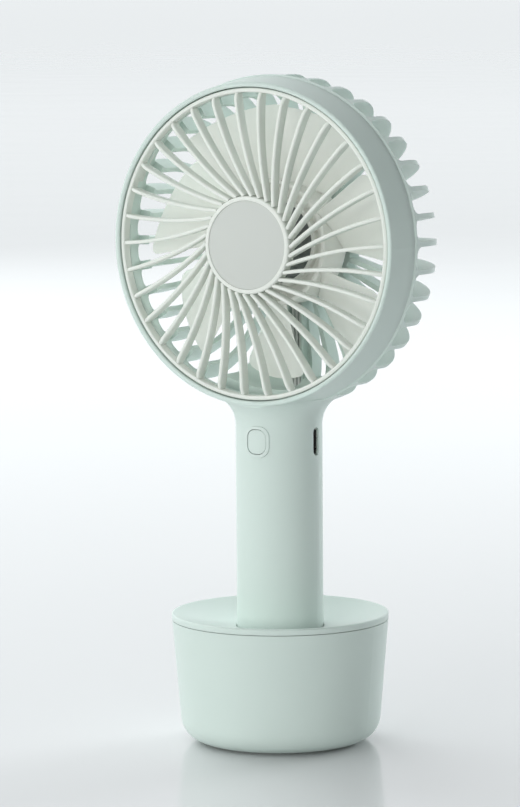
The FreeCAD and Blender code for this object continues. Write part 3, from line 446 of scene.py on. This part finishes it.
# ---------------------------------------------------------------- front guard
def blend(start, end, share):
    return start + (end - start) * share


def rib_edges(radius):
    """Depths of the rib's front and back at a radius: a shallow dome whose end bends back into the rim."""
    share = (radius - DOME_START) / (RIM_INNER - DOME_START)
    bend = max(0.0, (radius - BEND_START) / BEND_REACH) ** 2 * BEND_DROP
    return blend(DOME_HUB, DOME_RIM, share) + bend, blend(RIB_BACK_HUB, RIB_BACK_RIM, share)


def rib_sections():
    """Sections of the rib that ends near +X, along its sideways arc from the hub to the rim."""
    start = math.asin((RIB_STRAIGHT - RIB_ROOT) / RIB_BEND)
    end = math.asin((RIB_STRAIGHT - RIM_INNER - RIB_SUNK) / RIB_BEND)
    half = RIB_THICK / 2
    loops = []
    for step in range(RIB_STEPS + 1):
        turn = blend(start, end, step / RIB_STEPS)
        across = Vector((-math.sin(turn), math.cos(turn)))
        heart = Vector((RIB_STRAIGHT, -RIB_BEND)) + across * RIB_BEND
        front, back = rib_edges(heart.length)
        outline = rounded([(-half, front, RIB_ROUND), (half, front, RIB_ROUND),
                           (half, back, 0.2), (-half, back, 0.2)], 3)
        loop = []
        for side, depth in outline:
            place = heart + across * side
            loop.append(Vector((place.x, depth, HEAD_HEIGHT + place.y)) * MM)
        loops.append(loop)
    return loops


def hook_sections(angle, ahead, sweep, front):
    """A curved block behind the rim, one leg of a bayonet hook."""
    outline = rounded([(HOOK_INNER, front, 0.15), (HOOK_OUTER, front, 0.15),
                       (HOOK_OUTER, HOOK_BACK, 0.25), (HOOK_INNER, HOOK_BACK, 0.25)], 2)
    loops = []
    for step in range(HOOK_STEPS + 1):
        place = angle + ahead + sweep * step / HOOK_STEPS
        loops.append([head_point(radius, depth, place) for radius, depth in outline])
    return loops


def add_guard(material):
    """Hub, swirling ribs, rim and bayonet hooks of the removable front guard."""
    bm = bmesh.new()
    seat = DISC_RADIUS + DISC_PLAY
    hub = rounded([(0, DISC_SEAT, 0), (seat, DISC_SEAT, 0), (seat, HUB_FRONT - 0.05, 0.15),
                   (HUB_LIP, HUB_FRONT, 0.55), (HUB_RADIUS, DISC_SEAT, 0.3),
                   (HUB_RADIUS, HUB_BACK, 0.3), (0, HUB_BACK, 0)])
    revolve(bm, hub, 128, closed=False)
    rim = rounded([(RIM_INNER, RIM_BACK, 0.2), (RIM_INNER, RIM_INNER_FRONT, 0.5),
                   (RIM_OUTER, RIM_OUTER_FRONT, 0.5), (RIM_OUTER, RIM_BACK, 0.2)])
    revolve(bm, rim, 192)
    sections = rib_sections()
    for index in range(RIB_COUNT):
        skin(bm, turned_about_head(sections, RIB_PHASE + index * 360 / RIB_COUNT))
    for angle in HOOK_ANGLES:
        skin(bm, hook_sections(angle, *STEM))
        skin(bm, hook_sections(angle, *CATCH))
    piece = make_piece("guard_moulding", bm, material)
    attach(piece, "grille")
    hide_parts("front_grille")


def add_disc(material):
    """Plain cover disc in the guard's hub, its edge softly rounded."""
    bm = bmesh.new()
    outline = rounded([(0, DISC_SEAT, 0), (DISC_RADIUS, DISC_SEAT, 0), (DISC_RADIUS, DISC_FRONT, 0.15),
                       (0, DISC_FRONT - DISC_CROWN, 0)])
    revolve(bm, outline, 128, closed=False)
    piece = make_piece("guard_disc", bm, material)
    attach(piece, "grille")
    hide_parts("hub_badge")


# ---------------------------------------------------------------- fan rotor
def blade_point(reach, side, lift):
    """A point of the blade at +X: reach from the axis, side from -1 to 1 across, lift from its middle."""
    share = (reach - SPAN[0]) / (SPAN[1] - SPAN[0])
    along = side * blend(*CHORD, share) / 2
    pitch = math.radians(blend(*PITCH, share))
    return Vector((reach, blend(*MIDDLE, share) - math.sin(pitch) * along + math.cos(pitch) * lift,
                   math.cos(pitch) * along + math.sin(pitch) * lift))


def reach_at(side, radius):
    """How far out along +X the blade is where its middle surface crosses a radius."""
    low, high = 0.0, radius
    for _ in range(30):
        middle = (low + high) / 2
        point = blade_point(middle, side, 0)
        if math.hypot(point.x, point.z) < radius:
            low = middle
        else:
            high = middle
    return low


def blade_sections():
    """Sections of one blade from the hub to the tip: thin edges and round tip corners."""
    sides = [math.sin(math.pi / 2 * (2 * step / BLADE_COLUMNS - 1)) for step in range(BLADE_COLUMNS + 1)]
    ends = []
    for side in sides:
        corner = max(0.0, (abs(side) - TIP_CORNER) / (1 - TIP_CORNER))
        tip = BLADE_TIP - TIP_ROUND * (1 - math.sqrt(max(0.0, 1 - corner ** 2)))
        ends.append((reach_at(side, BLADE_ROOT), reach_at(side, tip)))
    lifted = Vector((0, 0, HEAD_HEIGHT))
    loops = []
    for row in range(BLADE_ROWS + 1):
        share = row / BLADE_ROWS
        thin = 1 - TIP_THINNING * share
        upper = []
        lower = []
        for side, (near, far) in zip(sides, ends):
            reach = blend(near, far, share)
            lift = BLADE_THICK / 2 * thin * (0.3 + 0.7 * (1 - side ** 2))
            upper.append((blade_point(reach, side, lift) + lifted) * MM)
            lower.append((blade_point(reach, side, -lift) + lifted) * MM)
        loops.append(upper + lower[::-1])
    return loops


def add_rotor(material):
    """Fan rotor: hub ring, web, collar round the motor's bell, and seven broad twisted blades."""
    bm = bmesh.new()
    web_front, web_back = WEB
    hub = rounded([(RING_INNER, ROTOR_FRONT, 0.4), (RING_OUTER, ROTOR_FRONT, 0.6),
                   (RING_OUTER, ROTOR_BACK, 0.4), (RING_INNER, ROTOR_BACK, 0.3),
                   (RING_INNER, web_back, 0.4), (COLLAR_OUTER, web_back, 0.3),
                   (COLLAR_OUTER, ROTOR_BACK, 0.2), (COLLAR_INNER, ROTOR_BACK, 0.2),
                   (COLLAR_INNER, COLLAR_FRONT, 0.2), (COLLAR_OUTER, COLLAR_FRONT, 0.3),
                   (COLLAR_OUTER, web_front, 0.4), (RING_INNER, web_front, 0.4)])
    revolve(bm, hub, 144)
    sections = blade_sections()
    for index in range(BLADE_COUNT):
        skin(bm, turned_about_head(sections, BLADE_PHASE + index * 360 / BLADE_COUNT))
    piece = make_piece("rotor_moulding", bm, material)
    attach(piece, "rotor")
    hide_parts("impeller")


# ---------------------------------------------------------------- carried-over nodes
def soften(name, width):
    """Round the hard edges of a CAD node a little."""
    edges = frame["nodes"][name].modifiers.new("soft_edges", "BEVEL")
    edges.width = width * MM
    edges.segments = 2
    edges.limit_method = "ANGLE"
    edges.angle_limit = math.radians(SOFTENED_FROM)
    edges.harden_normals = True


def finish_frame(finishes):
    """Give every CAD node the finish of its slot."""
    for entry in frame["record"]["subparts"]:
        node = frame["nodes"][entry["node"]]
        node.data.materials.clear()
        node.data.materials.append(finishes[entry["material_slot"]])


# ---------------------------------------------------------------- the scene
finishes = {**plastics(), **metals(), **matt_finishes()}
add_camera()
add_table()
add_surround()
add_lamps()
finish_frame(finishes)
add_guard(finishes["grille_plastic"])
add_disc(finishes["badge_plastic"])
add_rotor(finishes["impeller_plastic"])
soften("rear_shell", 0.3)
soften("button_bezel", 0.15)
soften("power_button", 0.15)
bpy.context.scene.view_settings.view_transform = "Standard"
